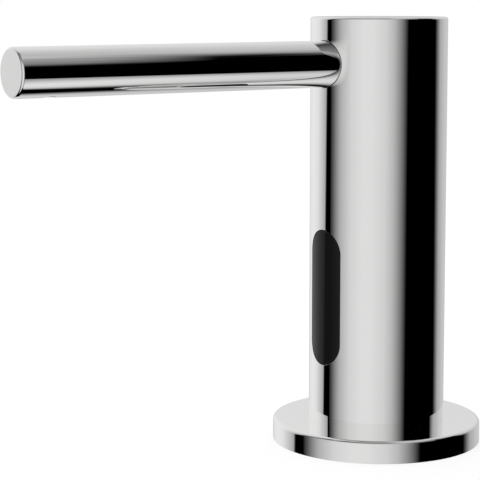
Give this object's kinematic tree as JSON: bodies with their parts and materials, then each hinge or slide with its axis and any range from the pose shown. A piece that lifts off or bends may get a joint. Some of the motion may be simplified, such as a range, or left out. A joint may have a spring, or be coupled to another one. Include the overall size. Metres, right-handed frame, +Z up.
{
  "type": "automatic soap dispenser",
  "caption": "Deck-mounted touch-free soap dispenser: a round chrome tower on a flange, a slim level spout, a black sensor window, and a threaded shank with its clamp below.",
  "frame": {"origin": "on the tower's axis in the plane of the deck, which is the underside of the base gasket", "axes": "+Z up along the tower, -Y along the spout and out of the sensor window, +X to the right as seen by the user"},
  "size_m": [0.0644, 0.1571, 0.2055],
  "materials": {
    "chrome": "polished",
    "brass": "turned",
    "steel": "satin",
    "rubber": "matt",
    "lens": "gloss",
    "dark_plastic": "moulded",
    "pale_plastic": "moulded",
    "blue_plastic": "moulded",
    "board": "satin lacquer",
    "tinted_eye": "gloss",
    "red_light": "gloss",
    "clear_tube": "smooth"
  },
  "bodies": {
    "dispenser": {"escutcheon": "chrome", "base_gasket": "rubber", "body_shell": "chrome", "base_insert": "brass", "body_o_ring": "rubber", "grub_screw": "steel", "shank": "brass", "shank_end_plug": "dark_plastic", "sensor_lens": "lens", "lens_gasket": "rubber", "sensor_housing": "dark_plastic", "sensor_board": "board", "ir_emitter": "tinted_eye", "ir_receiver": "tinted_eye", "status_led": "red_light", "driver_chip": "dark_plastic", "board_plug": "pale_plastic", "board_screw_upper": "steel", "housing_screw_upper": "steel", "board_screw_lower": "steel", "housing_screw_lower": "steel", "sensor_bracket": "steel", "bracket_screw_left": "steel", "bracket_screw_right": "steel", "sensor_lead": "dark_plastic", "lead_socket": "dark_plastic", "inlet_body": "pale_plastic", "hose_seal": "rubber", "valve_spring": "steel", "tube_connector": "pale_plastic", "soap_tube": "clear_tube", "lower_ferrule": "steel", "spout_tube": "chrome", "spout_end_plug": "chrome", "spout_saddle_washer": "brass", "spout_nut": "brass", "tube_spacer": "dark_plastic", "upper_ferrule": "steel", "nozzle_body": "pale_plastic", "nozzle_tip": "dark_plastic"},
    "clamp": {"rubber_washer": "rubber", "steel_washer": "steel"},
    "nut": {"lock_nut": "brass"},
    "ball": {"valve_ball": "steel"},
    "collet": {"release_collet": "blue_plastic"}
  },
  "joints": [
    {"name": "clamp_slide", "type": "slide", "parent": "dispenser", "child": "clamp", "axis": [0, 0, 1], "range_m": [-0.015, 0.015]},
    {"name": "nut_turn", "type": "hinge", "parent": "clamp", "child": "nut", "pos_m": [0, 0, -0.029], "axis": [0, 0, 1], "range_deg": [-1800, 1800]},
    {"name": "valve_lift", "type": "slide", "parent": "dispenser", "child": "ball", "axis": [0, 0, 1], "range_m": [0, 0.0012], "stiffness_N_per_m": 120, "springref_m": -0.0015, "deforming": ["valve_spring"]},
    {"name": "collet_press", "type": "slide", "parent": "dispenser", "child": "collet", "axis": [0, 0, 1], "range_m": [0, 0.0009]}
  ],
  "couplings": [
    {"joint": "nut_turn", "follows": "clamp_slide", "rad_per_m": 2094.4}
  ]
}
